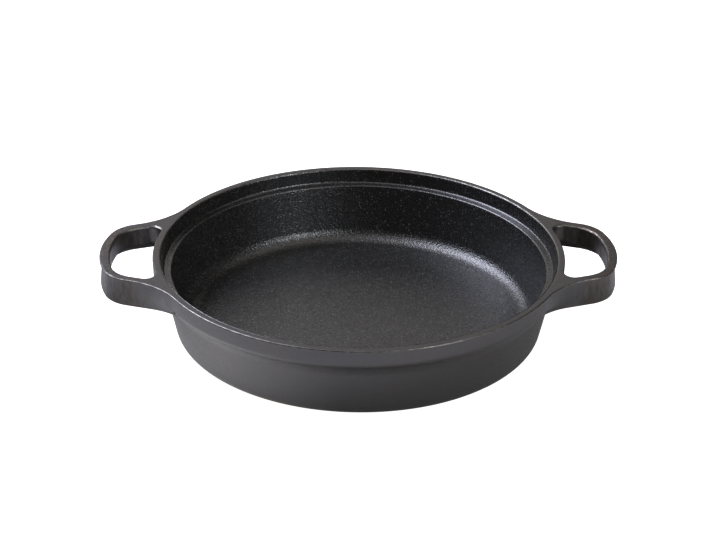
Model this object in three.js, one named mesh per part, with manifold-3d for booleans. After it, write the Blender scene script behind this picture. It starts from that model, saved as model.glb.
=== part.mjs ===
// Round cast iron pan with a loop handle at each side, a ledge for a lid and a grained coat inside.
// Millimetres, +Z up. The origin is the middle of the underside, and the handles lie along X.
import * as THREE from "three";
import { mergeVertices } from "three/addons/utils/BufferGeometryUtils.js";
import Module from "manifold-3d";

const wasm = await Module();
wasm.setup();

// Bowl
const PAN_HEIGHT = 48;
const RIM_RADIUS = 121.2;
const RIM_THICKNESS = 4.4;
const RIM_EDGE_ROUND = 0.8;
const RIM_INNER_ROUND = 1.4;
const BAND_HEIGHT = 10;
const BAND_DRAFT = THREE.MathUtils.degToRad(2);
const BAND_FOOT_ROUND = 1.5;
const SHOULDER_HEIGHT = 5;
const SHOULDER_WIDTH = 6;
const SHOULDER_FILLET = 3;
const WALL_SLOPE = THREE.MathUtils.degToRad(12);
const FOOT_ROUND = 6;
const FLOOR_THICKNESS = 4.5;
const LEDGE_DEPTH = 9;
const LEDGE_WIDTH = 4.6;
const LEDGE_FILLET = 1.8;
const LIP_ROUND = 0.8;
const INSIDE_DRAFT = THREE.MathUtils.degToRad(10);
const INSIDE_SLOPE = THREE.MathUtils.degToRad(12);
const COVE_RADIUS = 10;

// Coat on the inside of the bowl
const COAT_THICKNESS = 0.3;

// Loop handles: upright sizes
const HANDLE_HEIGHT = 16.7;
const UNDERSIDE_RISE = 4.8;
const HANDLE_DRAFT = THREE.MathUtils.degToRad(0.4);
const HANDLE_EDGE_ROUND = 0.8;
const HOLE_EDGE_ROUND = 1.6;
const UNDERSIDE_EDGE_ROUND = 0.5;
const OVERHANG_DEPTH = 1.4;
const UNDERCUT_HEIGHT = 1;
const UNDERCUT_SETBACK = 1.5;

// Loop handles, seen from above. The arm station is where the width across the arms is measured.
const HANDLE_STANDOFF = 31.1;
const GRIP_THICKNESS = 6.2;
const GRIP_CURVE_RADIUS = 68;
const GRIP_CORNER_RADIUS = 21;
const ARM_STATION = 10;
const ARM_SPREAD = 75.8;
const ARM_THICKNESS = 6;
const ARM_DRAW = THREE.MathUtils.degToRad(18);
const FLARE_RADIUS = 49;
const FLARE_FOOT_RADIUS = 37;
const HOLE_CURVE_RADIUS = 74;
const HOLE_CORNER_RADIUS = 18;
const HOLE_ROOT_RADIUS = 6;

// Where a handle meets the bowl
const ROOT_CLEARANCE = 0.3;
const ROOT_TIP_THICKNESS = 1;
const ROOT_SINK = 12;

// Facets
const BOWL_FACETS = 72;
const GRIP_FACETS = 5;
const CORNER_FACETS = 7;
const ROOT_FACETS = 8;
const EDGE_FACETS = 2;
const ARC_TOLERANCE = 0.1;
const WELD_DISTANCE = 1e-4;

// Heights and radii that follow from the sizes above
const bandFoot = PAN_HEIGHT - BAND_HEIGHT;
const bandFootRadius = RIM_RADIUS - BAND_HEIGHT * Math.tan(BAND_DRAFT);
const shoulderFoot = bandFoot - SHOULDER_HEIGHT;
const shoulderFootRadius = bandFootRadius - SHOULDER_WIDTH;
const ledgeHeight = PAN_HEIGHT - LEDGE_DEPTH;
const rimInnerRadius = RIM_RADIUS - RIM_THICKNESS;
const ledgeOuterRadius = rimInnerRadius - LEDGE_DEPTH * Math.tan(INSIDE_DRAFT);
const lipRadius = ledgeOuterRadius - LEDGE_WIDTH;
const floorCornerRadius = lipRadius - (ledgeHeight - FLOOR_THICKNESS) * Math.tan(INSIDE_SLOPE);
const handleFoot = PAN_HEIGHT - HANDLE_HEIGHT;
const holeFoot = handleFoot + UNDERSIDE_RISE;
const overhangFoot = PAN_HEIGHT - OVERHANG_DEPTH;
const undercutFoot = overhangFoot - UNDERCUT_HEIGHT;
const armTravel = new THREE.Vector2(Math.cos(ARM_DRAW), -Math.sin(ARM_DRAW));
const armSquare = Math.PI / 2 - ARM_DRAW;
const outerArm = new THREE.Vector2(RIM_RADIUS + ARM_STATION, ARM_SPREAD / 2);

const castIron = new THREE.MeshStandardMaterial({ color: 0x2e2d2d, roughness: 0.55, metalness: 0.6 });
const grainedCoat = new THREE.MeshStandardMaterial({ color: 0x171718, roughness: 0.7, metalness: 0.1 });

/** Steps that keep an arc's chords within the tolerance. */
function arcSteps(radius, sweep) {
  const stepAngle = 2 * Math.acos(1 - ARC_TOLERANCE / Math.max(radius, ARC_TOLERANCE));
  return Math.max(2, Math.ceil(Math.abs(sweep) / stepAngle));
}

/** Points on an arc, both ends included. */
function arcPoints(centre, radius, start, end, steps) {
  const points = [];
  for (let i = 0; i <= steps; i += 1) {
    const angle = start + ((end - start) * i) / steps;
    points.push(new THREE.Vector2(Math.cos(angle), Math.sin(angle)).multiplyScalar(radius).add(centre));
  }
  return points;
}

/** An open outline through corners, each rounded by its own radius; the first and last stay sharp. */
function roundedOutline(corners) {
  const points = [corners[0].at];
  for (let i = 1; i < corners.length - 1; i += 1) {
    const { at, round } = corners[i];
    const back = corners[i - 1].at.clone().sub(at).normalize();
    const ahead = corners[i + 1].at.clone().sub(at).normalize();
    if (!round) {
      points.push(at);
      continue;
    }
    const halfAngle = Math.acos(back.dot(ahead)) / 2;
    const bisector = back.clone().add(ahead).normalize();
    const centre = at.clone().addScaledVector(bisector, round / Math.sin(halfAngle));
    const entry = at.clone().addScaledVector(back, round / Math.tan(halfAngle)).sub(centre);
    const sweep = Math.sign(ahead.cross(back)) * (Math.PI - 2 * halfAngle);
    points.push(...arcPoints(centre, round, entry.angle(), entry.angle() + sweep, arcSteps(round, sweep)));
  }
  points.push(corners.at(-1).at);
  return points;
}

function corner(radius, height, round = 0) {
  return { at: new THREE.Vector2(radius, height), round };
}

/** The bowl's outside radius at a height on its band, its shoulder or its wall. */
function outsideRadius(height) {
  if (height >= bandFoot) {
    return RIM_RADIUS - (PAN_HEIGHT - height) * Math.tan(BAND_DRAFT);
  }
  if (height >= shoulderFoot) {
    return bandFootRadius - (SHOULDER_WIDTH * (bandFoot - height)) / SHOULDER_HEIGHT;
  }
  return shoulderFootRadius - (shoulderFoot - height) * Math.tan(WALL_SLOPE);
}

/** A closed profile turned about the pan's axis. */
function revolve(profile) {
  return new THREE.LatheGeometry(profile, BOWL_FACETS).rotateX(Math.PI / 2);
}

/** Profile of the underside, the wall, the shoulder and the band, up to the rim's flat top. */
function outsideProfile() {
  return roundedOutline([
    corner(0, 0),
    corner(outsideRadius(0), 0, FOOT_ROUND),
    corner(shoulderFootRadius, shoulderFoot, SHOULDER_FILLET),
    corner(bandFootRadius, bandFoot, BAND_FOOT_ROUND),
    corner(RIM_RADIUS, PAN_HEIGHT, RIM_EDGE_ROUND),
    corner(RIM_RADIUS - RIM_THICKNESS / 2, PAN_HEIGHT),
  ]);
}

/** Profile from the rim's flat top down over the lid ledge, the wall, the cove and the floor. */
function insideProfile() {
  return roundedOutline([
    corner(RIM_RADIUS - RIM_THICKNESS / 2, PAN_HEIGHT),
    corner(rimInnerRadius, PAN_HEIGHT, RIM_INNER_ROUND),
    corner(ledgeOuterRadius, ledgeHeight, LEDGE_FILLET),
    corner(lipRadius, ledgeHeight, LIP_ROUND),
    corner(floorCornerRadius, FLOOR_THICKNESS, COVE_RADIUS),
    corner(0, FLOOR_THICKNESS),
  ]);
}

/** The same outline moved sideways, to the left of its direction of travel. */
function offsetOutline(points, distance) {
  return points.map((point, i) => {
    const arriving = point.clone().sub(points[Math.max(i - 1, 0)]).normalize();
    const leaving = points[Math.min(i + 1, points.length - 1)].clone().sub(point).normalize();
    const travel = arriving.clone().add(leaving).normalize();
    const spread = Math.max(travel.dot(arriving), travel.dot(leaving));
    return point.clone().addScaledVector(new THREE.Vector2(-travel.y, travel.x), distance / spread);
  });
}

function panBody() {
  return revolve([...outsideProfile(), ...insideProfile().slice(1)]);
}

/** A thin lining on the inside, from half way round the rim's inner edge to the axis. */
function insideCoat() {
  const lined = insideProfile().filter((point) => point.y < PAN_HEIGHT - RIM_INNER_ROUND / 2);
  const surface = offsetOutline(lined, -COAT_THICKNESS);
  return revolve([...lined.reverse(), ...surface]);
}

/** Centre of an arc that touches a line on its left and lies at a distance from another centre. */
function arcCentre(point, travel, offset, centre, distance) {
  const left = new THREE.Vector2(-travel.y, travel.x);
  const start = point.clone().addScaledVector(left, offset);
  const from = start.clone().sub(centre);
  const along = from.dot(travel);
  const step = -along + Math.sqrt(along * along - from.lengthSq() + distance * distance);
  return start.addScaledVector(travel, step);
}

/** Angle on an arc at which it stands a small thickness off a wall, on the side given by its sign. */
function tipAngle(centre, radius, wallRadius, side) {
  const reach = wallRadius + ROOT_TIP_THICKNESS;
  const cosine = (reach * reach - centre.lengthSq() - radius * radius) / (2 * centre.length() * radius);
  return centre.angle() + side * Math.acos(cosine);
}

/** How far the draft draws a handle's side in at a height. */
function drawnIn(height) {
  return (PAN_HEIGHT - height) * Math.tan(HANDLE_DRAFT);
}

/** How far the end of a grip is set back at a height: most under the overhanging top edge. */
function setBack(height) {
  if (height >= overhangFoot) {
    return 0;
  }
  return THREE.MathUtils.mapLinear(height, handleFoot, undercutFoot, 0, UNDERCUT_SETBACK);
}

/** Half of a handle's outside at a height, as arcs from the middle of the grip into the wall. */
function outsideArcs(height, edgeInset) {
  const inset = drawnIn(height) + edgeInset;
  const gripEnd = RIM_RADIUS + HANDLE_STANDOFF - setBack(height);
  const gripCentre = new THREE.Vector2(gripEnd - GRIP_CURVE_RADIUS, 0);
  const gripSpan = GRIP_CURVE_RADIUS - GRIP_CORNER_RADIUS;
  const gripCorner = arcCentre(outerArm, armTravel, -GRIP_CORNER_RADIUS, gripCentre, gripSpan);
  const turn = gripCorner.clone().sub(gripCentre).angle();
  const cornerRadius = GRIP_CORNER_RADIUS - inset;
  const wallRadius = outsideRadius(height);
  const sweep = THREE.MathUtils.mapLinear(height, handleFoot, PAN_HEIGHT, FLARE_FOOT_RADIUS, FLARE_RADIUS);
  const flare = arcCentre(outerArm, armTravel, sweep - inset, new THREE.Vector2(), wallRadius + sweep);
  const tip = tipAngle(flare, sweep, wallRadius, -1);
  return [
    { centre: gripCentre, radius: GRIP_CURVE_RADIUS - inset, start: 0, end: turn, steps: GRIP_FACETS },
    { centre: gripCorner, radius: cornerRadius, start: turn, end: armSquare, steps: CORNER_FACETS },
    { centre: flare, radius: sweep, start: armSquare - Math.PI, end: tip, steps: ROOT_FACETS },
  ];
}

/** Half of a finger hole at a height, as arcs from the middle of the grip to the wall. */
function holeArcs(height, edgeInset) {
  const inset = drawnIn(height) + edgeInset;
  const endCentre = new THREE.Vector2(RIM_RADIUS + HANDLE_STANDOFF - GRIP_THICKNESS - HOLE_CURVE_RADIUS, 0);
  const endSpan = HOLE_CURVE_RADIUS - HOLE_CORNER_RADIUS;
  const cornerOffset = -ARM_THICKNESS - HOLE_CORNER_RADIUS;
  const holeCorner = arcCentre(outerArm, armTravel, cornerOffset, endCentre, endSpan);
  const turn = holeCorner.clone().sub(endCentre).angle();
  const cornerRadius = HOLE_CORNER_RADIUS + inset;
  const wallRadius = outsideRadius(height);
  const rootOffset = inset - ARM_THICKNESS - HOLE_ROOT_RADIUS;
  const rootReach = wallRadius + HOLE_ROOT_RADIUS;
  const root = arcCentre(outerArm, armTravel, rootOffset, new THREE.Vector2(), rootReach);
  const tip = tipAngle(root, HOLE_ROOT_RADIUS, wallRadius, 1);
  return [
    { centre: endCentre, radius: HOLE_CURVE_RADIUS + inset, start: 0, end: turn, steps: GRIP_FACETS },
    { centre: holeCorner, radius: cornerRadius, start: turn, end: armSquare, steps: CORNER_FACETS },
    { centre: root, radius: HOLE_ROOT_RADIUS, start: armSquare, end: tip, steps: ROOT_FACETS },
  ];
}

/** A rail at a height along half an outline and its mirror image, with both ends sunk into the bowl. */
function rail(arcs, height) {
  const upper = arcs.flatMap((arc) => arcPoints(arc.centre, arc.radius, arc.start, arc.end, arc.steps));
  const lower = upper.slice(1).reverse().map(({ x, y }) => new THREE.Vector2(x, -y));
  const shown = [...lower, ...upper];
  const sunk = (point) => point.clone().setLength(RIM_RADIUS - ROOT_SINK);
  return [sunk(shown[0]), ...shown, sunk(shown.at(-1))].map(({ x, y }) => new THREE.Vector3(x, y, height));
}

/** Outside and finger hole of a handle at one step of the rounds from a flat face; rounds go up or down. */
function roundedLevel({ face, holeFace, round, holeRound, way }, turn) {
  const rise = way * (1 - Math.cos(turn));
  const inset = 1 - Math.sin(turn);
  const height = face + rise * round;
  const holeHeight = holeFace + rise * holeRound;
  return {
    outside: rail(outsideArcs(height, inset * round), height),
    hole: rail(holeArcs(holeHeight, inset * holeRound), holeHeight),
  };
}

/** Outside and finger hole of a handle between the rounds, each at its own height. */
function sideLevel(height, holeHeight) {
  return { outside: rail(outsideArcs(height, 0), height), hole: rail(holeArcs(holeHeight, 0), holeHeight) };
}

/** A handle's levels from its underside, which is higher along the finger hole, to its top. */
function handleLevels() {
  const turns = Array.from({ length: EDGE_FACETS + 1 }, (_, i) => (i * Math.PI) / 2 / EDGE_FACETS);
  const sides = [bandFoot, undercutFoot, overhangFoot];
  const holeStep = (PAN_HEIGHT - holeFoot) / (sides.length + 1);
  const underside = {
    face: handleFoot,
    holeFace: holeFoot,
    round: UNDERSIDE_EDGE_ROUND,
    holeRound: UNDERSIDE_EDGE_ROUND,
    way: 1,
  };
  const top = {
    face: PAN_HEIGHT,
    holeFace: PAN_HEIGHT,
    round: HANDLE_EDGE_ROUND,
    holeRound: HOLE_EDGE_ROUND,
    way: -1,
  };
  return [
    ...turns.map((turn) => roundedLevel(underside, turn)),
    ...sides.map((height, i) => sideLevel(height, holeFoot + holeStep * (i + 1))),
    ...turns.reverse().map((turn) => roundedLevel(top, turn)),
  ];
}

/** A closed skin over levels stacked upwards, each an outside and a hole with as many points. */
function loft(levels) {
  const loops = levels.map(({ outside, hole }) => [...outside, ...hole.reverse()]);
  const count = loops[0].length;
  const top = (loops.length - 1) * count;
  const triangles = [];
  for (let level = 0; level < loops.length - 1; level += 1) {
    for (let i = 0; i < count; i += 1) {
      const here = level * count + i;
      const next = level * count + ((i + 1) % count);
      triangles.push(here, next, next + count, here, next + count, here + count);
    }
  }
  for (let i = 0; i < count / 2 - 1; i += 1) {
    const across = count - 1 - i;
    triangles.push(across - 1, i + 1, i, across, across - 1, i);
    triangles.push(top + i, top + i + 1, top + across - 1, top + i, top + across - 1, top + across);
  }
  const geometry = new THREE.BufferGeometry().setFromPoints(loops.flat());
  geometry.setIndex(triangles);
  return geometry;
}

/** A solid for cutting, from a closed geometry. */
function solidOf(geometry) {
  const bare = geometry.clone();
  bare.deleteAttribute("normal");
  bare.deleteAttribute("uv");
  const merged = mergeVertices(bare, WELD_DISTANCE);
  const mesh = new wasm.Mesh({
    numProp: 3,
    vertProperties: new Float32Array(merged.attributes.position.array),
    triVerts: new Uint32Array(merged.index.array),
  });
  return new wasm.Manifold(mesh);
}

function geometryOf(solid) {
  const mesh = solid.getMesh();
  const geometry = new THREE.BufferGeometry();
  geometry.setAttribute("position", new THREE.BufferAttribute(mesh.vertProperties, mesh.numProp));
  geometry.setIndex(new THREE.BufferAttribute(mesh.triVerts, 1));
  return geometry;
}

/** The room that the bowl takes up beside a handle's roots, with the clearance round it. */
function bowlRoom() {
  const low = handleFoot - HANDLE_HEIGHT;
  const high = PAN_HEIGHT + HANDLE_HEIGHT;
  return revolve([
    new THREE.Vector2(0, low),
    new THREE.Vector2(outsideRadius(low) + ROOT_CLEARANCE, low),
    new THREE.Vector2(shoulderFootRadius + ROOT_CLEARANCE, shoulderFoot),
    new THREE.Vector2(bandFootRadius + ROOT_CLEARANCE, bandFoot),
    new THREE.Vector2(outsideRadius(high) + ROOT_CLEARANCE, high),
    new THREE.Vector2(0, high),
  ]);
}

/** The right handle: a drafted loop with rounded edges, fitted to the bowl's outside. */
function loopHandle() {
  return geometryOf(solidOf(loft(handleLevels())).subtract(solidOf(bowlRoom())));
}

function namedMesh(name, geometry, material) {
  const mesh = new THREE.Mesh(geometry, material);
  mesh.name = name;
  return mesh;
}

const handle = loopHandle();
const rightHandle = namedMesh("right_handle", handle, castIron);
const leftHandle = namedMesh("left_handle", handle, castIron);
leftHandle.rotation.z = Math.PI;

const pan = new THREE.Group();
pan.add(namedMesh("pan_body", panBody(), castIron));
pan.add(namedMesh("inside_coat", insideCoat(), grainedCoat));
pan.add(leftHandle, rightHandle);

export default pan;
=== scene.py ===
"""A round cast iron pan with a loop handle at each side, a ledge for a lid and a grained coat inside."""

from collections import namedtuple
from math import ceil, cos, pi, radians, sin, sqrt, tan

import bmesh
import bpy
from mathutils import Euler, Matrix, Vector


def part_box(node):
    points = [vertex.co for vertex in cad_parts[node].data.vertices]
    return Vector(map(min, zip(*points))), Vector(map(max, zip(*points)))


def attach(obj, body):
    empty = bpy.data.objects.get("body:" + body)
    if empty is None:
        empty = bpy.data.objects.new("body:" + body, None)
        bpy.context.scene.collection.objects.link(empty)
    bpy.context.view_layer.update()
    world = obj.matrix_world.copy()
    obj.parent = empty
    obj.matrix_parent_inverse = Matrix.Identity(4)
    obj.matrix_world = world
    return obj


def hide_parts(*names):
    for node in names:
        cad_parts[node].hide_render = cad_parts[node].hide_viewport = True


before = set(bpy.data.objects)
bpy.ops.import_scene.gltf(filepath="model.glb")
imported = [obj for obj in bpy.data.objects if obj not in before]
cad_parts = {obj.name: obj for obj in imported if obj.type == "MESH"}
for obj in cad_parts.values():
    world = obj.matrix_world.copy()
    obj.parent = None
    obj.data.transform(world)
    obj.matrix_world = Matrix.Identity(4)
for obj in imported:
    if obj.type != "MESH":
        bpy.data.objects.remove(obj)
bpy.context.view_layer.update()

bl_info = {
    "name": "Cast iron pan",
    "version": (1, 0, 0),
    "blender": (4, 5, 0),
    "location": "View3D > Sidebar > Pan",
    "description": "Models a round cast iron pan with a lid ledge and two loop handles, and lights it",
    "category": "Add Mesh",
}

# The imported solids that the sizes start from
_, BOWL_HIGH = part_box("pan_body")
HANDLE_LOW, HANDLE_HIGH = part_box("right_handle")

MM = 0.001

# The pan's axis meets the table at the origin, and its front faces along -Y
ORIGIN = (0, 0, 0)
AXIS = Vector((0, 0))
DOWN = (0, 0, -1)
FRONT = -pi / 2

# How finely round stretches are divided
BOWL_STEPS = 256
ROUND_STEP = radians(12)
LEAST_ROUND_STEPS = 3
HANDLE_STEP = radians(4.5)
LEAST_HANDLE_STEPS = 6
EDGE_STEPS = 6

# Shading: edges that turn by more stay sharp, and flat faces outweigh the rounds beside them
SHARP_ANGLE = radians(40)
FLAT_FACE_WEIGHT = 100

# Distances within which points count as the same place, and by which a handle's skin runs into the bowl's
MERGE_DISTANCE = 1e-6
PLACE_TOLERANCE = 5e-6
TUCK = 2e-5


# Sizes and colours in the sidebar

def length(name, description, millimetres):
    """A length kept in metres."""
    return bpy.props.FloatProperty(
        name=name, description=description, default=millimetres * MM, precision=5, unit="LENGTH")


def angle(name, description, degrees):
    """An angle kept in radians."""
    return bpy.props.FloatProperty(
        name=name, description=description, default=radians(degrees), unit="ROTATION")


def power(name, description, watts):
    """The power of a light in watts."""
    return bpy.props.FloatProperty(
        name=name, description=description, default=watts, min=0, unit="POWER")


def colour(name, description, red, green, blue):
    """A linear colour."""
    return bpy.props.FloatVectorProperty(
        name=name, description=description, default=(red, green, blue, 1), size=4, min=0, max=1,
        subtype="COLOR")


class PanBowlSizes(bpy.types.PropertyGroup):
    """Sizes of the turned bowl and its coat"""
    height: length("Height", "From the underside to the top of the rim", BOWL_HIGH.z / MM)
    rim_radius: length("Rim radius", "Outside radius at the top of the rim", round(BOWL_HIGH.x / MM, 1))
    rim_thickness: length("Rim thickness", "Width of the rim's flat top, with its rounds", 4.4)
    edge_round: length("Edge round", "Radius of the rim's outer edge and of the handles' edges", 0.8)
    inner_round: length("Inner round", "Radius of the rim's inner edge", 1.4)
    band_height: length("Band height", "Depth of the upright band below the rim", 10)
    band_draft: angle("Band draft", "Lean of the band", 2)
    band_round: length("Band round", "Radius where the band turns into the shoulder", 4)
    shoulder_height: length("Shoulder height", "Height of the shoulder under the band", 5)
    shoulder_width: length("Shoulder width", "How far the shoulder leads in to the wall", 6)
    shoulder_fillet: length("Shoulder fillet", "Radius where the shoulder turns into the wall", 14)
    wall_slope: angle("Wall slope", "Lean of the wall below the shoulder", 12)
    foot_round: length("Foot round", "Radius between the wall and the underside", 6)
    floor_thickness: length("Floor thickness", "Iron under the cooking floor", 4.5)
    ledge_depth: length("Ledge depth", "From the top of the rim down to the lid ledge", 9)
    ledge_width: length("Ledge width", "Width of the lid ledge", 4.6)
    ledge_fillet: length("Ledge fillet", "Radius in the corner of the lid ledge", 1.8)
    lip_round: length("Lip round", "Radius of the lid ledge's inner edge", 0.8)
    inside_draft: angle("Inside draft", "Lean of the wall above the lid ledge", 10)
    inside_slope: angle("Inside slope", "Lean of the wall below the lid ledge", 12)
    cove_radius: length("Cove radius", "Radius between the inside wall and the cooking floor", 10)
    coat_thickness: length("Coat thickness", "Thickness of the coat on the inside", 0.3)
    coat_reach: length("Coat reach", "From the rim's inner corner out to the coat's edge", 0.175)


class PanHandleSizes(bpy.types.PropertyGroup):
    """Sizes of a loop handle, seen from above unless they say otherwise"""
    reach: length("Reach", "From the pan's axis to the end of the grip", HANDLE_HIGH.x / MM)
    foot: length("Foot", "Height of the outer edge of the underside above the table", HANDLE_LOW.z / MM)
    underside_rise: length("Underside rise", "How much higher the underside is at the finger hole", 4.8)
    top_gap: length("Top gap", "How far the top lies under the rim's top", 0.004)
    draft: angle("Draft", "Lean of the sides", 0.4)
    hole_edge: length("Hole edge", "Radius of the finger hole's upper edge", 1.6)
    foot_edge: length("Foot edge", "Radius of the edges round the underside", 0.5)
    overhang: length("Overhang", "Depth of the top edge that overhangs the grip's end", 1.4)
    undercut: length("Undercut", "Height over which the grip's end falls back below it", 1)
    setback: length("Setback", "How far the grip's end falls back under the overhang", 1.5)
    grip_thickness: length("Grip thickness", "Width of the bar at the end of the handle", 6.2)
    grip_curve: length("Grip curve", "Radius of the grip's outside", 68)
    grip_corner: length("Grip corner", "Radius of the corners between the grip and the arms", 21)
    arm_station: length("Arm station", "Where the arms' spread is measured, from the rim", 10)
    arm_spread: length("Arm spread", "Width across both arms", 75.8)
    arm_thickness: length("Arm thickness", "Width of an arm", 6)
    arm_draw: angle("Arm draw", "How far each arm turns in towards the grip", 18)
    flare: length("Flare", "Radius of the sweep from an arm into the rim", 49)
    flare_foot: length("Flare foot", "Radius of the same sweep at the underside", 37)
    hole_curve: length("Hole curve", "Radius of the finger hole's far side", 74)
    hole_corner: length("Hole corner", "Radius of the finger hole's far corners", 18)
    hole_root: length("Hole root", "Radius of the finger hole's corners at the rim", 6)
    root_depth: length("Root depth", "How deep the roots end in the bowl's metal", 2)


class PanFinishes(bpy.types.PropertyGroup):
    """Colours of the iron and of the coat"""
    iron: colour("Iron", "Seasoned iron", 0.106, 0.105, 0.106)
    iron_brown: colour("Brown iron", "Iron where the seasoning is thin", 0.126, 0.104, 0.091)
    # Dark iron: thick seasoning in the handles' streaks, and also the colour a handle darkens to towards
    # its foot
    iron_dark: colour("Dark iron", "Thick seasoning in streaks and low on a handle", 0.070, 0.062, 0.057)
    # Painted shade: a near-black colour on the handles' underside, where the handles' own shadow falls
    soot: colour("Soot", "Underside of the handles", 0.018, 0.017, 0.016)
    iron_worn: colour("Worn iron", "Iron that is rubbed bright along the upper edges", 0.19, 0.18, 0.16)
    coat: colour("Coat", "Black coat on the inside", 0.009, 0.009, 0.009)
    fleck: colour("Fleck", "Pale specks in the coat", 0.105, 0.105, 0.107)


class PanStageSettings(bpy.types.PropertyGroup):
    """Camera, lights and floor"""
    camera_distance: length("Camera distance", "From the middle of the rim to the camera", 1200)
    camera_elevation: angle("Camera elevation", "Height of the camera above the rim's plane", 26.55)
    camera_turn: angle("Camera turn", "Turn of the camera round the pan, to its left", 1.78)
    camera_roll: angle("Camera roll", "Tilt of the picture", 0.63)
    aim_across: length("Aim across", "Sideways step from the rim's middle to the picture's middle", -0.4)
    aim_down: length("Aim down", "Downward step from the rim's middle to the picture's middle", 11.4)
    lens: bpy.props.FloatProperty(
        name="Lens", description="Focal length", default=102.44, unit="CAMERA")
    window: power("Window", "Power of the large window light up on the left", 15)
    window_back: power("Window at the back", "Power of the window light further back", 17.6)
    fill: power("Fill", "Power of the soft light in front on the right", 9)
    overhead: power("Overhead", "Power of the soft light above the pan", 3.3)
    lamp: power("Lamp", "Power of the warm light up on the right", 1.9)
    backdrop: power("Backdrop", "Power of the wide light behind the pan", 2.4)
    window_tint: colour("Window tint", "Colour of the window light", 0.82, 0.845, 1.0)
    fill_tint: colour("Fill tint", "Colour of the light in front", 0.925, 0.95, 1.0)
    warm_tint: colour("Warm tint", "Colour of the lamp and the lights above and behind", 1.0, 0.96, 0.92)
    room: colour("Room", "Light of the room that falls from all round", 0.022, 0.016, 0.008)
    floor: colour("Floor", "Pale floor", 0.67, 0.67, 0.67)
    floor_glow: colour("Floor glow", "Colour of the light that the bright floor adds", 1.0, 0.98, 0.95)
    # A painted pool of light: the floor glows round this place beside the pan, in place of the window's
    # light falling there
    painted_light_place: bpy.props.FloatVectorProperty(
        name="Patch place", description="Middle of the window's patch of light on the floor",
        default=(-0.105, -0.075, 0), subtype="XYZ_LENGTH", unit="LENGTH")
    painted_light_radius: length("Patch radius", "Where the patch of light has faded out", 100)
    painted_light_glow: bpy.props.FloatProperty(
        name="Patch glow", description="Strength of the patch of light", default=0.66, min=0)


# Steps that the pieces share

def deselect_everything():
    bpy.ops.object.select_all(action="DESELECT")


def pick(piece):
    """Selects one piece alone and makes it the active one."""
    deselect_everything()
    piece.select_set(True)
    bpy.context.view_layer.objects.active = piece


def edit(piece):
    """Edit mode on one piece alone."""
    pick(piece)
    bpy.ops.object.mode_set(mode="EDIT")


def leave_edit_mode():
    bpy.ops.object.mode_set(mode="OBJECT")


def select_edges(piece, wanted):
    """Selects, in edit mode, the edges that a test picks by their place."""
    bpy.ops.mesh.select_mode(type="EDGE")
    bpy.ops.mesh.select_all(action="DESELECT")
    mesh = bmesh.from_edit_mesh(piece.data)
    for edge in mesh.edges:
        edge.select_set(wanted(edge))
    bmesh.update_edit_mesh(piece.data)


def select_faces(piece, wanted):
    """Selects, in edit mode, the faces that a test picks by their place or normal."""
    bpy.ops.mesh.select_mode(type="FACE")
    bpy.ops.mesh.select_all(action="DESELECT")
    mesh = bmesh.from_edit_mesh(piece.data)
    for face in mesh.faces:
        face.select_set(wanted(face))
    bmesh.update_edit_mesh(piece.data)


def tidy_mesh():
    """Merges doubled points and turns all faces outwards, in edit mode."""
    bpy.ops.mesh.select_all(action="SELECT")
    bpy.ops.mesh.remove_doubles(threshold=MERGE_DISTANCE)
    bpy.ops.mesh.normals_make_consistent(inside=False)


def smooth(piece):
    """Smooth shading that leaves the flat faces flat."""
    pick(piece)
    bpy.ops.object.shade_smooth_by_angle(angle=SHARP_ANGLE)
    weighted = piece.modifiers.new("Flat faces", "WEIGHTED_NORMAL")
    weighted.weight = FLAT_FACE_WEIGHT
    weighted.keep_sharp = True
    bpy.ops.object.modifier_apply(modifier=weighted.name)


def finish_piece(piece, material, node):
    """Gives a piece its finish, and its place in the frame."""
    piece.data.materials.clear()
    piece.data.materials.append(material)
    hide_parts(node)
    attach(piece, "root")


# The bowl

# A corner of the turned profile, and the radius that rounds it
Ring = namedtuple("Ring", "radius height round")


def outside_radius(bowl, height):
    """Radius of the bowl's outside at a height on its band, its shoulder or its wall."""
    band_foot = bowl.height - bowl.band_height
    shoulder_foot = band_foot - bowl.shoulder_height
    on_band = bowl.height - max(height, band_foot)
    on_shoulder = band_foot - min(max(height, shoulder_foot), band_foot)
    on_wall = max(shoulder_foot - height, 0)
    shoulder_lead = bowl.shoulder_width / bowl.shoulder_height
    return (bowl.rim_radius - on_band * tan(bowl.band_draft) - on_shoulder * shoulder_lead
            - on_wall * tan(bowl.wall_slope))


def bowl_rings(bowl):
    """The bowl's corners from the edge of the underside, over the rim, to the edge of the cooking floor."""
    band_foot = bowl.height - bowl.band_height
    shoulder_foot = band_foot - bowl.shoulder_height
    rim_inner = bowl.rim_radius - bowl.rim_thickness
    ledge = bowl.height - bowl.ledge_depth
    ledge_outer = rim_inner - bowl.ledge_depth * tan(bowl.inside_draft)
    lip = ledge_outer - bowl.ledge_width
    floor_edge = lip - (ledge - bowl.floor_thickness) * tan(bowl.inside_slope)
    return [
        Ring(outside_radius(bowl, 0), 0, bowl.foot_round),
        Ring(outside_radius(bowl, shoulder_foot), shoulder_foot, bowl.shoulder_fillet),
        Ring(outside_radius(bowl, band_foot), band_foot, bowl.band_round),
        Ring(bowl.rim_radius, bowl.height, bowl.edge_round),
        Ring(rim_inner, bowl.height, bowl.inner_round),
        Ring(ledge_outer, ledge, bowl.ledge_fillet),
        Ring(lip, ledge, bowl.lip_round),
        Ring(floor_edge, bowl.floor_thickness, bowl.cove_radius),
    ]


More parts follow.
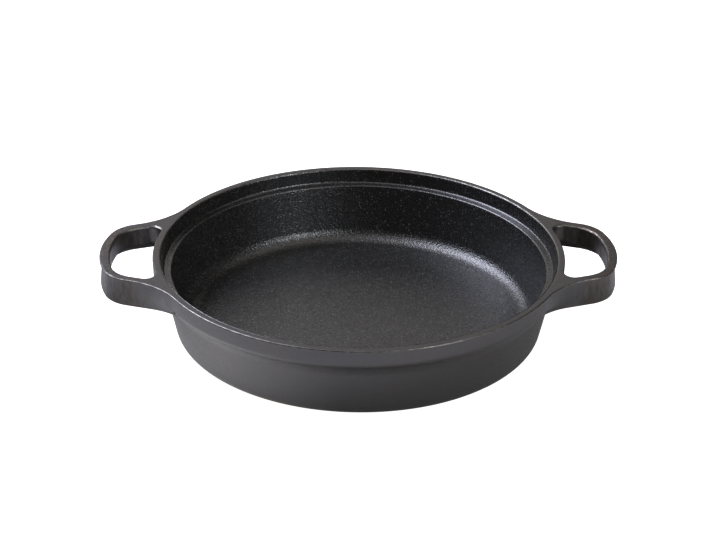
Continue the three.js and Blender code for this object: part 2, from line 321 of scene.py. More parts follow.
def draw_out(rings):
    """A disc drawn out from ring to ring into a closed turned blank."""
    deselect_everything()
    bpy.ops.mesh.primitive_circle_add(vertices=BOWL_STEPS, radius=rings[0].radius, fill_type="NGON")
    bpy.ops.object.mode_set(mode="EDIT")
    bpy.ops.mesh.select_mode(type="FACE")
    bpy.ops.mesh.select_all(action="SELECT")
    for below, ring in zip(rings, rings[1:]):
        rise = (0, 0, ring.height - below.height)
        widen = ring.radius / below.radius
        bpy.ops.mesh.extrude_region_move(TRANSFORM_OT_translate={"value": rise})
        bpy.ops.transform.resize(value=(widen, widen, 1), center_override=ORIGIN)
    tidy_mesh()
    leave_edit_mode()
    return bpy.context.object


def lies_on(ring, point):
    return (abs(point.z - ring.height) < PLACE_TOLERANCE
            and abs(point.xy.length - ring.radius) < PLACE_TOLERANCE)


def round_ring(piece, before, ring, after):
    """Rounds one corner ring with a bevel that touches the faces on both sides of it."""
    arriving = Vector((ring.radius - before.radius, ring.height - before.height))
    leaving = Vector((after.radius - ring.radius, after.height - ring.height))
    turn = arriving.angle(leaving)
    steps = max(LEAST_ROUND_STEPS, ceil(turn / ROUND_STEP))
    select_edges(piece, lambda edge: all(lies_on(ring, vert.co) for vert in edge.verts))
    bpy.ops.mesh.bevel(offset=ring.round * tan(turn / 2), segments=steps, affect="EDGES")


class PAN_OT_bowl(bpy.types.Operator):
    """Turn the cast bowl with its band, rim, lid ledge and cove"""
    bl_idname = "pan.bowl"
    bl_label = "Bowl"

    def execute(self, context):
        scene = context.scene
        rings = bowl_rings(scene.pan_bowl)
        piece = draw_out(rings)
        piece.name = "bowl"
        edit(piece)
        underside_middle = Ring(0, rings[0].height, 0)
        floor_middle = Ring(0, rings[-1].height, 0)
        corners = [underside_middle, *rings, floor_middle]
        for before, ring, after in zip(corners, corners[1:], corners[2:]):
            round_ring(piece, before, ring, after)
        tidy_mesh()
        leave_edit_mode()
        smooth(piece)
        iron = iron_finish(scene.pan_finishes, scene.pan_bowl, scene.pan_handle)
        finish_piece(piece, iron, "pan_body")
        return {"FINISHED"}


# The coat inside the bowl

# A face counts as inside while its normal leans outwards by less than this share
INSIDE_LEAN = 0.1


def outwards(point):
    """Direction from the pan's axis to a point, level with the table."""
    flat = Vector((point.x, point.y, 0))
    return flat.normalized() if flat.length > PLACE_TOLERANCE else flat


def lies_inside(bowl, face):
    """Whether a face of the bowl lies between the edge of the coat and the middle of the cooking floor."""
    middle = face.calc_center_median()
    coat_edge = bowl.rim_radius - bowl.rim_thickness + bowl.coat_reach
    above_floor = middle.z > bowl.floor_thickness - PLACE_TOLERANCE
    faces_in = face.normal.dot(outwards(middle)) < INSIDE_LEAN
    return above_floor and middle.xy.length < coat_edge and faces_in


class PAN_OT_inside_coat(bpy.types.Operator):
    """Line the inside of the bowl with its grained coat"""
    bl_idname = "pan.inside_coat"
    bl_label = "Inside coat"

    def execute(self, context):
        bowl = context.scene.pan_bowl
        bowl_piece = bpy.data.objects["bowl"]
        edit(bowl_piece)
        select_faces(bowl_piece, lambda face: lies_inside(bowl, face))
        bpy.ops.mesh.duplicate()
        bpy.ops.mesh.separate(type="SELECTED")
        leave_edit_mode()
        piece = next(made for made in context.selected_objects if made != bowl_piece)
        piece.name = "coat"
        # The coat keeps none of the marks that the copied faces brought along from the bowl
        for mark in list(piece.keys()):
            del piece[mark]
        pick(piece)
        lining = piece.modifiers.new("Lining", "SOLIDIFY")
        lining.thickness = bowl.coat_thickness
        lining.offset = 1
        lining.use_even_offset = True
        bpy.ops.object.modifier_apply(modifier=lining.name)
        smooth(piece)
        finish_piece(piece, coat_finish(context.scene.pan_finishes, bowl), "inside_coat")
        return {"FINISHED"}


# The handles

# A round stretch of an outline, seen from above
Arc = namedtuple("Arc", "centre radius start end height")

# The underside or the top: height and edge round outside and at the hole, and which way the rounds lead
Flat = namedtuple("Flat", "height round hole_height hole_round way")

# One outline of the solid: heights and insets of the outside and of the finger hole
Level = namedtuple("Level", "height inset hole_height hole_inset")

# The small plane that an outline starts from, and the name of the mark on a handle's underside
SEED_SIZE = 1 * MM
UNDERSIDE = "underside"


class Pen:
    """Draws an outline in edit mode: it extrudes straight lines and spins arcs from its last point."""

    def __init__(self, start):
        bpy.ops.mesh.primitive_plane_add(size=SEED_SIZE)
        bpy.ops.mesh.merge(type="CENTER")
        bpy.ops.transform.translate(value=start)
        self.at = start

    def line(self, end):
        step = end - self.at
        if step.length > MERGE_DISTANCE:
            bpy.ops.mesh.extrude_region_move(TRANSFORM_OT_translate={"value": step})
            self.at = end

    def arc(self, arc, steps):
        self.line(arc_point(arc, arc.start))
        centre = (arc.centre.x, arc.centre.y, arc.height)
        bpy.ops.mesh.spin(steps=steps, angle=arc.end - arc.start, center=centre, axis=DOWN)
        self.at = arc_point(arc, arc.end)


def arc_point(arc, turn):
    flat = arc.centre + arc.radius * Vector((cos(turn), sin(turn)))
    return Vector((flat.x, flat.y, arc.height))


def arc_steps(arc):
    """How many steps an arc is divided into."""
    return max(LEAST_HANDLE_STEPS, ceil(abs(arc.end - arc.start) / HANDLE_STEP))


def bearing(point):
    """Angle of a point seen from the pan's axis."""
    return -Vector((1, 0)).angle_signed(point)


def touching_centre(point, travel, offset, centre, distance):
    """Centre of an arc that touches a line, offset to its left, at a distance from another centre."""
    left = Vector((-travel.y, travel.x))
    start = point + left * offset
    away = start - centre
    along = away.dot(travel)
    return start + travel * (sqrt(along ** 2 - away.length_squared + distance ** 2) - along)


def arm_line(bowl, handle):
    """A point on the outside of the upper arm, and the arm's direction away from the pan."""
    return (Vector((bowl.rim_radius + handle.arm_station, handle.arm_spread / 2)),
            Vector((cos(handle.arm_draw), -sin(handle.arm_draw))))


def drafted(bowl, handle, height):
    """How far a handle's side is drawn in at a height."""
    return (bowl.height - height) * tan(handle.draft)


def wall_radius(bowl, height):
    """Radius just inside the bowl's skin at a height, with the round of the rim's outer edge."""
    left = max(bowl.edge_round - (bowl.height - height), 0)
    recess = bowl.edge_round - sqrt(bowl.edge_round ** 2 - left ** 2)
    return outside_radius(bowl, height) - recess - TUCK


def flare_radius(bowl, handle, height):
    """Radius of the sweep into the rim, which tightens towards the underside."""
    share = (height - handle.foot) / (bowl.height - handle.foot)
    return handle.flare_foot + (handle.flare - handle.flare_foot) * share


def set_back(bowl, handle, height):
    """How far the end of the grip is set back at a height: most just under the overhanging top edge."""
    overhang_foot = bowl.height - handle.top_gap - handle.overhang
    if height > overhang_foot - PLACE_TOLERANCE:
        return 0
    return handle.setback * (height - handle.foot) / (overhang_foot - handle.undercut - handle.foot)


def outside_arcs(bowl, handle, level):
    """Arcs of the upper half of a handle's outside, from the middle of the grip into the wall."""
    arm, travel = arm_line(bowl, handle)
    square = pi / 2 - handle.arm_draw
    inset = drafted(bowl, handle, level.height) + level.inset
    grip = Vector((handle.reach - set_back(bowl, handle, level.height) - handle.grip_curve, 0))
    corner = touching_centre(
        arm, travel, -handle.grip_corner, grip, handle.grip_curve - handle.grip_corner)
    turn = bearing(corner - grip)
    sweep = flare_radius(bowl, handle, level.height)
    flare = touching_centre(
        arm, travel, sweep - inset, AXIS, wall_radius(bowl, level.height) + sweep)
    return [
        Arc(grip, handle.grip_curve - inset, 0, turn, level.height),
        Arc(corner, handle.grip_corner - inset, turn, square, level.height),
        Arc(flare, sweep, square - pi, bearing(flare) - pi, level.height),
    ]


def hole_arcs(bowl, handle, level):
    """Arcs of the upper half of a finger hole, from the middle of the grip to the wall."""
    arm, travel = arm_line(bowl, handle)
    square = pi / 2 - handle.arm_draw
    inset = drafted(bowl, handle, level.hole_height) + level.hole_inset
    end = Vector((handle.reach - handle.grip_thickness - handle.hole_curve, 0))
    corner = touching_centre(
        arm, travel, -handle.arm_thickness - handle.hole_corner,
        end, handle.hole_curve - handle.hole_corner)
    turn = bearing(corner - end)
    root = touching_centre(
        arm, travel, inset - handle.arm_thickness - handle.hole_root,
        AXIS, wall_radius(bowl, level.hole_height) + handle.hole_root)
    return [
        Arc(end, handle.hole_curve + inset, 0, turn, level.hole_height),
        Arc(corner, handle.hole_corner + inset, turn, square, level.hole_height),
        Arc(root, handle.hole_root, square, bearing(root) + pi, level.hole_height),
    ]


def turned_back(arc):
    return arc._replace(start=arc.end, end=arc.start)


def mirrored(arc):
    return arc._replace(centre=Vector((arc.centre.x, -arc.centre.y)), start=-arc.start, end=-arc.end)


def carried_across(arc):
    """An arc that starts on the handle's middle line, carried on to the other side of it."""
    return arc._replace(start=-arc.end)


def handle_loop(bowl, handle, level):
    """A handle's outline at a level: round the grip, into the wall, round the finger hole and back."""
    grip, corner, flare = outside_arcs(bowl, handle, level)
    end, hole_corner, root = hole_arcs(bowl, handle, level)
    sunk_radius = wall_radius(bowl, level.height) - handle.root_depth
    sunk = Arc(AXIS, sunk_radius, bearing(flare.centre), bearing(root.centre), level.height)
    outside = [mirrored(turned_back(arc)) for arc in (flare, corner)]
    outside += [carried_across(grip), corner, flare]
    hole = [turned_back(arc) for arc in (root, hole_corner, carried_across(end))]
    hole += [mirrored(arc) for arc in (hole_corner, root)]
    return [*outside, sunk, *hole, mirrored(turned_back(sunk))]


def rounded_level(flat, turn):
    """A level on the rounds that lead up or down from a handle's flat face."""
    inset = 1 - sin(turn)
    rise = (1 - cos(turn)) * flat.way
    return Level(
        flat.height + rise * flat.round, inset * flat.round,
        flat.hole_height + rise * flat.hole_round, inset * flat.hole_round)


def handle_levels(bowl, handle):
    """Levels from the underside, which is higher along the finger hole, to the handle's top."""
    turns = [pi / 2 * step / EDGE_STEPS for step in range(EDGE_STEPS + 1)]
    hole_foot = handle.foot + handle.underside_rise
    top = bowl.height - handle.top_gap
    band_foot = bowl.height - bowl.band_height
    shoulder_foot = band_foot - bowl.shoulder_height
    overhang_foot = top - handle.overhang
    sides = [shoulder_foot, band_foot, overhang_foot - handle.undercut, overhang_foot]
    hole_step = (top - hole_foot) / (len(sides) + 1)
    underside = Flat(handle.foot, handle.foot_edge, hole_foot, handle.foot_edge, 1)
    upper_side = Flat(top, bowl.edge_round, top, handle.hole_edge, -1)
    return [
        *(rounded_level(underside, turn) for turn in turns),
        *(Level(height, 0, hole_foot + hole_step * step, 0) for step, height in enumerate(sides, 1)),
        *(rounded_level(upper_side, turn) for turn in reversed(turns)),
    ]


def draw_loop(loop, steps):
    """Draws a closed outline of arcs joined by straight lines."""
    start = arc_point(loop[0], loop[0].start)
    bpy.ops.mesh.select_mode(type="VERT")
    bpy.ops.mesh.select_all(action="DESELECT")
    pen = Pen(start)
    for arc, count in zip(loop, steps):
        pen.arc(arc, count)
    pen.line(start)
    bpy.ops.mesh.select_all(action="SELECT")
    bpy.ops.mesh.remove_doubles(threshold=MERGE_DISTANCE)


def select_open_edges(piece):
    select_edges(piece, lambda edge: len(edge.link_faces) < 2)


def model_handle(bowl, handle):
    """The right handle, as outlines at rising levels that are joined into a solid."""
    loops = [handle_loop(bowl, handle, level) for level in handle_levels(bowl, handle)]
    steps = [arc_steps(arc) for arc in loops[0]]
    deselect_everything()
    bpy.ops.mesh.primitive_plane_add(size=SEED_SIZE)
    piece = bpy.context.object
    edit(piece)
    bpy.ops.mesh.select_all(action="SELECT")
    bpy.ops.mesh.delete(type="VERT")
    draw_loop(loops[0], steps)
    bpy.ops.mesh.fill(use_beauty=True)
    for loop in loops[1:]:
        draw_loop(loop, steps)
        select_open_edges(piece)
        bpy.ops.mesh.bridge_edge_loops()
    select_open_edges(piece)
    bpy.ops.mesh.edge_face_add()
    tidy_mesh()
    leave_edit_mode()
    return piece


def mark_underside(piece, handle):
    """Marks the underside from its outer edge to the round below the finger hole, where the iron's finish
    paints shade.
    """
    mesh = piece.data
    hole_foot = handle.foot + handle.underside_rise

    def on_underside(place):
        on_outer_edge = abs(place.z - handle.foot) < PLACE_TOLERANCE
        above_hole_foot = place.z - hole_foot
        return on_outer_edge or -PLACE_TOLERANCE < above_hole_foot < handle.foot_edge + PLACE_TOLERANCE

    marks = mesh.attributes.new(UNDERSIDE, "FLOAT", "FACE")
    for face, mark in zip(mesh.polygons, marks.data):
        mark.value = all(on_underside(mesh.vertices[index].co) for index in face.vertices)


class PAN_OT_handles(bpy.types.Operator):
    """Model a loop handle that runs out of the rim, and turn a copy of it to the other side"""
    bl_idname = "pan.handles"
    bl_label = "Handles"

    def execute(self, context):
        bowl = context.scene.pan_bowl
        handle = context.scene.pan_handle
        right = model_handle(bowl, handle)
        mark_underside(right, handle)
        right.name = "handle_right"
        pick(right)
        bpy.ops.object.duplicate(linked=False)
        left = context.object
        left.name = "handle_left"
        edit(left)
        bpy.ops.mesh.select_all(action="SELECT")
        bpy.ops.transform.rotate(value=pi, orient_axis="Z", center_override=ORIGIN)
        leave_edit_mode()
        iron = iron_finish(context.scene.pan_finishes, bowl, handle)
        for piece, node in ((right, "right_handle"), (left, "left_handle")):
            smooth(piece)
            finish_piece(piece, iron, node)
        return {"FINISHED"}


# Shader nodes

# The whole range of a mask, and full white
FULL = (0, 1)
WHITE = (1, 1, 1, 1)


def plug(tree, socket, value):
    """Links a value to an input, or sets the input to a plain value."""
    if isinstance(value, bpy.types.NodeSocket):
        tree.links.new(value, socket)
    else:
        socket.default_value = value


def plug_named(tree, node, inputs):
    """Links or sets inputs by their names, in which an underscore stands for a space."""
    for name, value in inputs.items():
        plug(tree, node.inputs[name.replace("_", " ")], value)


def add_node(tree, kind, **inputs):
    """A shader node with some of its inputs set or linked by name."""
    node = tree.nodes.new(kind)
    plug_named(tree, node, inputs)
    return node


def own_place(tree):
    """The piece's own coordinates."""
    return tree.nodes.new("ShaderNodeTexCoord").outputs["Object"]


def new_group(name, inputs, outputs):
    """An empty node group that reads a place and some numbers, and its two end nodes."""
    group = bpy.data.node_groups.new(name, "ShaderNodeTree")
    group.interface.new_socket("Place", in_out="INPUT", socket_type="NodeSocketVector")
    for socket, default in inputs.items():
        made = group.interface.new_socket(socket, in_out="INPUT", socket_type="NodeSocketFloat")
        made.default_value = default
    for socket in outputs:
        group.interface.new_socket(socket, in_out="OUTPUT", socket_type="NodeSocketFloat")
    return group, group.nodes.new("NodeGroupInput"), group.nodes.new("NodeGroupOutput")


def place_group(tree, group, **inputs):
    """A node group placed in a material on the piece's own coordinates."""
    node = tree.nodes.new("ShaderNodeGroup")
    node.node_tree = group
    plug_named(tree, node, {"Place": own_place(tree), **inputs})
    return node


def ranged(tree, value, source, target):
    """A value spread from one range to another, held at both ends."""
    node = add_node(tree, "ShaderNodeMapRange", Value=value)
    names = ("From Min", "From Max", "To Min", "To Max")
    for name, number in zip(names, (*source, *target)):
        plug(tree, node.inputs[name], number)
    return node.outputs["Result"]


def mixed_colour(tree, factor, first, second):
    """A colour that turns from the first into the second as the factor rises."""
    node = tree.nodes.new("ShaderNodeMix")
    node.data_type = "RGBA"
    plug(tree, node.inputs["Factor"], factor)
    ends = [socket for socket in node.inputs if socket.type == "RGBA"]
    for socket, value in zip(ends, (first, second)):
        plug(tree, socket, value)
    return next(socket for socket in node.outputs if socket.type == "RGBA")


def noise(tree, place, scale, detail):
    """Cloudy noise between 0 and 1, mostly near the middle."""
    return add_node(tree, "ShaderNodeTexNoise", Vector=place, Scale=scale, Detail=detail).outputs["Fac"]


def combined(tree, operation, *values):
    """One value, or two put together, by arithmetic."""
    node = tree.nodes.new("ShaderNodeMath")
    node.operation = operation
    for socket, value in zip(node.inputs, values):
        plug(tree, socket, value)
    return node.outputs["Value"]


def new_finish(name):
    """A material with only its shader and its output, and that shader."""
    material = bpy.data.materials.new(name)
    material.use_nodes = True
    shader = next(node for node in material.node_tree.nodes if node.type == "BSDF_PRINCIPLED")
    return material, shader


# How strongly a pattern raises the surface, and how deep it is
Relief = namedtuple("Relief", "strength depth")


def raised(tree, shader, height, relief):
    """Raises the surface by a pattern, on top of what raises it already."""
    bump = add_node(
        tree, "ShaderNodeBump", Height=height, Strength=relief.strength, Distance=relief.depth)
    for link in shader.inputs["Normal"].links:
        plug(tree, bump.inputs["Normal"], link.from_socket)
    plug(tree, shader.inputs["Normal"], bump.outputs["Normal"])


# Effects that the finishes are made of

# The cast skin: finer layers in its noise, and the spans of noise and of speck cells that it is read from
GRAIN_DETAIL = 2
GRAIN_SPAN = (0.3, 0.7)
MOTTLE_DETAIL = 4
MOTTLE_SPAN = (0.35, 0.65)
SPECK_EDGE = (0.16, 0.36)
SPECK_LOT = (0.3, 1)

# The worn edges: their depth below the top, where in it they start and end, and the patches along them
WEAR_DEPTH = 1 * MM
WEAR_START = (0.01, 0.06)
WEAR_END = (0.7, 1)
WEAR_PATCHES = 320
WEAR_DETAIL = 3
WEAR_SPAN = (0.4, 0.6)
WEAR_SHARE = (0.1, 1)


def cast_skin_group():
    """Fine grain of a cast skin, broad mottling of its colour, and scattered specks."""
    if "Cast skin" in bpy.data.node_groups:
        return bpy.data.node_groups["Cast skin"]
    scales = {"Grain Scale": IRON_GRAIN, "Mottle Scale": IRON_MOTTLE, "Speck Scale": COAT_SPECKS}
    tree, start, end = new_group("Cast skin", scales, ["Grain", "Mottle", "Specks"])
    place = start.outputs["Place"]
    grain = noise(tree, place, start.outputs["Grain Scale"], GRAIN_DETAIL)
    mottle = noise(tree, place, start.outputs["Mottle Scale"], MOTTLE_DETAIL)
    cells = add_node(tree, "ShaderNodeTexVoronoi", Vector=place, Scale=start.outputs["Speck Scale"])
    lot = add_node(tree, "ShaderNodeSeparateColor", Color=cells.outputs["Color"]).outputs["Red"]
    dot = ranged(tree, cells.outputs["Distance"], SPECK_EDGE, (1, 0))
    specks = combined(tree, "MULTIPLY", dot, ranged(tree, lot, SPECK_LOT, FULL))
    plug(tree, end.inputs["Grain"], grain)
    plug(tree, end.inputs["Mottle"], ranged(tree, mottle, MOTTLE_SPAN, FULL))
    plug(tree, end.inputs["Specks"], specks)
    return tree


def worn_edge_group():
    """The rounded edges round the top, rubbed bright in patches."""
    sizes = {"Top": BOWL_HIGH.z, "Depth": WEAR_DEPTH}
    tree, start, end = new_group("Worn edge", sizes, ["Wear"])
    place = start.outputs["Place"]
    height = add_node(tree, "ShaderNodeSeparateXYZ", Vector=place).outputs["Z"]
    drop = combined(tree, "SUBTRACT", start.outputs["Top"], height)
    share = combined(tree, "DIVIDE", drop, start.outputs["Depth"])
    below_top = ranged(tree, share, WEAR_START, FULL)
    above_side = ranged(tree, share, WEAR_END, (1, 0))
    strip = combined(tree, "MULTIPLY", below_top, above_side)
    patches = ranged(tree, noise(tree, place, WEAR_PATCHES, WEAR_DETAIL), WEAR_SPAN, WEAR_SHARE)
    plug(tree, end.inputs["Wear"], combined(tree, "MULTIPLY", strip, patches))
    return tree


# The iron

# Its patterns, in cells to the metre, with finer layers of noise, and the streaks' span and stretch
IRON_GRAIN = 800
IRON_MOTTLE = 45
IRON_DENTS = 130
DENT_DETAIL = 3
IRON_STREAKS = 420
STREAK_DETAIL = 4
STREAK_SPAN = (0.42, 0.66)
STREAK_STRETCH = (1, 1, 0.3)

# Distances from the middle between which the bowl's finish turns into the handles'
HANDLE_FADE = (112 * MM, 135 * MM)

# Shares: the bowl's brown against the handles', thick seasoning in streaks, and darkening towards a
# handle's foot
BOWL_BROWN = 0.25
THICK_STREAKS = 0.65
DARKER_AT_FOOT = 0.9

# Gloss, and what the handles add to its roughness
IRON_METALLIC = 0.9
IRON_ROUGHNESS = (0.33, 0.46)
HANDLE_ROUGHER = 0.06
WORN_ROUGHNESS = 0.3
SHADED_UNDERSIDE_ROUGHNESS = 0.85

DENT_RELIEF = Relief(strength=0.35, depth=0.5 * MM)
GRAIN_RELIEF = Relief(strength=0.5, depth=0.25 * MM)
STREAK_RELIEF = Relief(strength=0.7, depth=0.6 * MM)

# Values over the iron's surface that its colour, gloss and relief are mixed by
IronMasks = namedtuple("IronMasks", "grain mottle streaks on_handle low soot wear")


def iron_masks(tree, bowl, handle):
    """The iron's patterns, and where it is handle, low down, under a handle where shade is painted, or
    worn.
    """
    skin = place_group(tree, cast_skin_group(), Grain_Scale=IRON_GRAIN, Mottle_Scale=IRON_MOTTLE)
    wear = place_group(tree, worn_edge_group(), Top=bowl.height, Depth=WEAR_DEPTH)
    place = own_place(tree)
    split = add_node(tree, "ShaderNodeSeparateXYZ", Vector=place)
    off_middle = combined(tree, "ABSOLUTE", split.outputs["X"])
    upright = add_node(tree, "ShaderNodeMapping", Vector=place, Scale=STREAK_STRETCH)
    # The mark on the handles' underside, where shade is painted into the colour
    soot = tree.nodes.new("ShaderNodeAttribute")
    soot.attribute_name = UNDERSIDE
    return IronMasks(
        grain=skin.outputs["Grain"],
        mottle=skin.outputs["Mottle"],
        streaks=noise(tree, upright.outputs["Vector"], IRON_STREAKS, STREAK_DETAIL),
        on_handle=ranged(tree, off_middle, HANDLE_FADE, FULL),
        low=ranged(tree, split.outputs["Z"], (handle.foot, bowl.height), (DARKER_AT_FOOT, 0)),
        soot=soot.outputs["Fac"],
        wear=wear.outputs["Wear"])


def iron_colour(tree, finishes, masks):
    """Nearly black, browner and streaked on the handles and darker towards their foot, with painted shade
    under them, and bright at worn edges.
    """
    brown = combined(tree, "MULTIPLY", masks.mottle, ranged(tree, masks.on_handle, FULL, (BOWL_BROWN, 1)))
    streaks = ranged(tree, masks.streaks, STREAK_SPAN, (0, THICK_STREAKS))
    # The handles also darken towards their foot
    layers = combined(tree, "ADD", streaks, masks.low)
    thick = combined(tree, "MULTIPLY", layers, masks.on_handle)
    body = mixed_colour(tree, brown, finishes.iron, finishes.iron_brown)
    seasoned = mixed_colour(tree, thick, body, finishes.iron_dark)
    # Painted shade: the handles' underside turns almost black
    with_painted_shade = mixed_colour(tree, masks.soot, seasoned, finishes.soot)
    return mixed_colour(tree, masks.wear, with_painted_shade, finishes.iron_worn)


def iron_roughness(tree, masks):
    """Satin with the grain, a little rougher on the handles, smoother at worn edges and matt under the
    handles, where shade is painted.
    """
    satin = ranged(tree, masks.grain, GRAIN_SPAN, IRON_ROUGHNESS)
    rougher = combined(tree, "ADD", satin, ranged(tree, masks.on_handle, FULL, (0, HANDLE_ROUGHER)))
    rubbed = ranged(tree, masks.wear, FULL, (rougher, WORN_ROUGHNESS))
    return ranged(tree, masks.soot, FULL, (rubbed, SHADED_UNDERSIDE_ROUGHNESS))


def iron_finish(finishes, bowl, handle):
    """Seasoned cast iron, which the bowl and the handles share."""
    if "seasoned_iron" in bpy.data.materials:
        return bpy.data.materials["seasoned_iron"]
    material, shader = new_finish("seasoned_iron")
    tree = material.node_tree
    masks = iron_masks(tree, bowl, handle)
    plug(tree, shader.inputs["Base Color"], iron_colour(tree, finishes, masks))
    plug(tree, shader.inputs["Roughness"], iron_roughness(tree, masks))
    plug(tree, shader.inputs["Metallic"], IRON_METALLIC)
    raised(tree, shader, noise(tree, own_place(tree), IRON_DENTS, DENT_DETAIL), DENT_RELIEF)
    raised(tree, shader, masks.grain, GRAIN_RELIEF)
    raised(tree, shader, combined(tree, "MULTIPLY", masks.streaks, masks.on_handle), STREAK_RELIEF)
    return material


# The coat

# Its patterns, in cells to the metre, its gloss, its relief, and the share of that from the lid ledge up
COAT_GRAIN = 950
COAT_SPECKS = 600
COAT_ROUGHNESS = (0.22, 0.38)
COAT_SPECULAR = 0.88
COAT_RELIEF = Relief(strength=0.8, depth=0.45 * MM)
LEDGE_RELIEF_SHARE = 0.55


def coat_finish(finishes, bowl):
    """Black coat with a raised grain and pale specks."""
    material, shader = new_finish("grained_coat")
    tree = material.node_tree
    skin = place_group(tree, cast_skin_group(), Grain_Scale=COAT_GRAIN, Speck_Scale=COAT_SPECKS)
    speckled = mixed_colour(tree, skin.outputs["Specks"], finishes.coat, finishes.fleck)
    glossy = ranged(tree, skin.outputs["Grain"], GRAIN_SPAN, COAT_ROUGHNESS)
    plug(tree, shader.inputs["Base Color"], speckled)
    plug(tree, shader.inputs["Roughness"], glossy)
    plug(tree, shader.inputs["Specular IOR Level"], COAT_SPECULAR)
    height = add_node(tree, "ShaderNodeSeparateXYZ", Vector=own_place(tree)).outputs["Z"]
    ledge = bowl.height - bowl.ledge_depth
    coarse = ranged(tree, height, (ledge - bowl.ledge_fillet, ledge), (1, LEDGE_RELIEF_SHARE))
    raised(tree, shader, combined(tree, "MULTIPLY", skin.outputs["Grain"], coarse), COAT_RELIEF)
    return material


# The stage

# Places and sizes of the soft lights in metres
SoftLight = namedtuple("SoftLight", "place size")
WINDOW = SoftLight(place=(-0.91, 0.33, 1.18), size=(1.2, 1.0))
WINDOW_BACK = SoftLight(place=(-0.88, 0.59, 1.09), size=(0.75, 0.8))
FILL = SoftLight(place=(0.87, -0.93, 0.82), size=(0.4, 0.4))
OVERHEAD = SoftLight(place=(-0.17, -0.20, 1.51), size=(1.3, 1.0))
LAMP = SoftLight(place=(0.74, 0.13, 1.33), size=(0.7, 0.6))
BACKDROP = SoftLight(place=(-0.23, 1.30, 0.73), size=(1.6, 0.6))

# The floor's width in metres, its gloss, its painted glow away from the painted pool of light, and its glow
# to the camera
FLOOR_SIZE = 12
FLOOR_ROUGHNESS = 0.7
FLOOR_SPECULAR = 0.1
FAR_GLOW = 0.04
CAMERA_GLOW = 1.06


def floor_finish(stage):
    """Pale floor that the camera sees as white, with a painted pool of light beside the pan that glows
    brightest where the window's light would fall.
    """
    material, shader = new_finish("pale_floor")
    tree = material.node_tree
    away = tree.nodes.new("ShaderNodeVectorMath")
    away.operation = "DISTANCE"
    for socket, place in zip(away.inputs, (own_place(tree), stage.painted_light_place)):
        plug(tree, socket, place)
    # Painted pool of light: the floor glows for all but camera rays, most round the place beside the pan
    painted_pool = ranged(tree, away.outputs["Value"], (0, stage.painted_light_radius), (stage.painted_light_glow, FAR_GLOW))
    path = tree.nodes.new("ShaderNodeLightPath")
    glow = ranged(tree, path.outputs["Is Camera Ray"], FULL, (painted_pool, CAMERA_GLOW))
    plug(tree, shader.inputs["Base Color"], stage.floor)
    plug(tree, shader.inputs["Roughness"], FLOOR_ROUGHNESS)
    plug(tree, shader.inputs["Specular IOR Level"], FLOOR_SPECULAR)
    plug(tree, shader.inputs["Emission Color"], stage.floor_glow)
    plug(tree, shader.inputs["Emission Strength"], glow)
    return material


def aimed(location, target):
    """Turn that points a lamp or a camera from one place at another."""
    return (Vector(target) - Vector(location)).to_track_quat("-Z", "Y").to_euler()


def soft_light(name, panel, target, watts, tint):
    """A rectangular soft light aimed at a point."""
    bpy.ops.object.light_add(type="AREA", location=panel.place, rotation=aimed(panel.place, target))
    light = bpy.context.object
    light.name = name
    light.data.shape = "RECTANGLE"
    light.data.size, light.data.size_y = panel.size
    light.data.energy = watts
    light.data.color = tint[:3]


def room_light(stage):
    """An even dim room that the camera sees as white."""
    world = bpy.data.worlds.new("room")
    world.use_nodes = True
    tree = world.node_tree
    background = next(node for node in tree.nodes if node.type == "BACKGROUND")
    path = tree.nodes.new("ShaderNodeLightPath")
    seen = mixed_colour(tree, path.outputs["Is Camera Ray"], stage.room, WHITE)
    plug(tree, background.inputs["Color"], seen)
    bpy.context.scene.world = world


def place_camera(stage, bowl):
    """Camera at the viewing angle, aimed a little below the middle of the rim."""
    middle = Vector((0, 0, bowl.height))
    turn = FRONT - stage.camera_turn
    flat = cos(stage.camera_elevation)
    away = Vector((flat * cos(turn), flat * sin(turn), sin(stage.camera_elevation)))
    across, up, _ = aimed(away, ORIGIN).to_matrix().transposed()
    location = middle + away * stage.camera_distance
    target = middle + across * stage.aim_across - up * stage.aim_down
    rolled = aimed(location, target).to_matrix() @ Euler((0, 0, stage.camera_roll)).to_matrix()
    bpy.ops.object.camera_add(location=location, rotation=rolled.to_euler())
    camera = bpy.context.object
    camera.data.lens = stage.lens
    bpy.context.scene.camera = camera


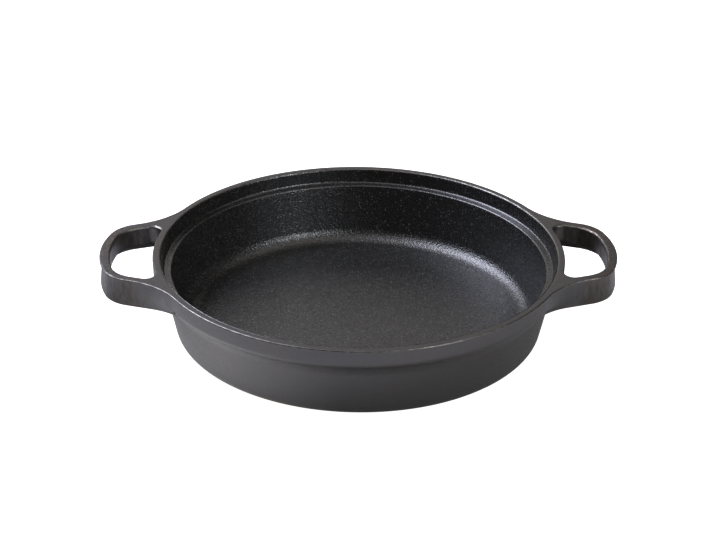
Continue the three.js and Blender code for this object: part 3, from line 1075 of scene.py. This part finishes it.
class PAN_OT_stage(bpy.types.Operator):
    """Set the pale floor, the soft lights and the camera"""
    bl_idname = "pan.stage"
    bl_label = "Stage"

    def execute(self, context):
        stage = context.scene.pan_stage
        bowl = context.scene.pan_bowl
        deselect_everything()
        bpy.ops.mesh.primitive_plane_add(size=FLOOR_SIZE)
        floor = context.object
        floor.name = "floor"
        floor.data.materials.append(floor_finish(stage))
        middle = (0, 0, bowl.height / 2)
        soft_light("window", WINDOW, middle, stage.window, stage.window_tint)
        soft_light("window_back", WINDOW_BACK, middle, stage.window_back, stage.window_tint)
        soft_light("fill", FILL, middle, stage.fill, stage.fill_tint)
        soft_light("overhead", OVERHEAD, middle, stage.overhead, stage.warm_tint)
        soft_light("lamp", LAMP, middle, stage.lamp, stage.warm_tint)
        soft_light("backdrop", BACKDROP, middle, stage.backdrop, stage.warm_tint)
        room_light(stage)
        place_camera(stage, bowl)
        context.scene.view_settings.view_transform = "Standard"
        return {"FINISHED"}


# The sidebar

class PAN_PT_sidebar(bpy.types.Panel):
    """Sizes, finishes and the steps that build the pan"""
    bl_idname = "PAN_PT_sidebar"
    bl_label = "Cast iron pan"
    bl_space_type = "VIEW_3D"
    bl_region_type = "UI"
    bl_category = "Pan"

    def draw(self, context):
        scene = context.scene
        for settings in (scene.pan_bowl, scene.pan_handle, scene.pan_finishes, scene.pan_stage):
            box = self.layout.box()
            for name in settings.__annotations__:
                box.prop(settings, name)
        for operator in OPERATORS:
            self.layout.operator(operator.bl_idname)


SETTINGS = {
    "pan_bowl": PanBowlSizes,
    "pan_handle": PanHandleSizes,
    "pan_finishes": PanFinishes,
    "pan_stage": PanStageSettings,
}
OPERATORS = (PAN_OT_bowl, PAN_OT_inside_coat, PAN_OT_handles, PAN_OT_stage)


def register():
    for made in (*SETTINGS.values(), *OPERATORS, PAN_PT_sidebar):
        bpy.utils.register_class(made)
    for name, group in SETTINGS.items():
        setattr(bpy.types.Scene, name, bpy.props.PointerProperty(type=group))


def unregister():
    for name in SETTINGS:
        delattr(bpy.types.Scene, name)
    for made in (PAN_PT_sidebar, *reversed(OPERATORS), *reversed(SETTINGS.values())):
        bpy.utils.unregister_class(made)


def main():
    register()
    bpy.ops.pan.bowl()
    bpy.ops.pan.inside_coat()
    bpy.ops.pan.handles()
    bpy.ops.pan.stage()


if __name__ == "__main__":
    main()
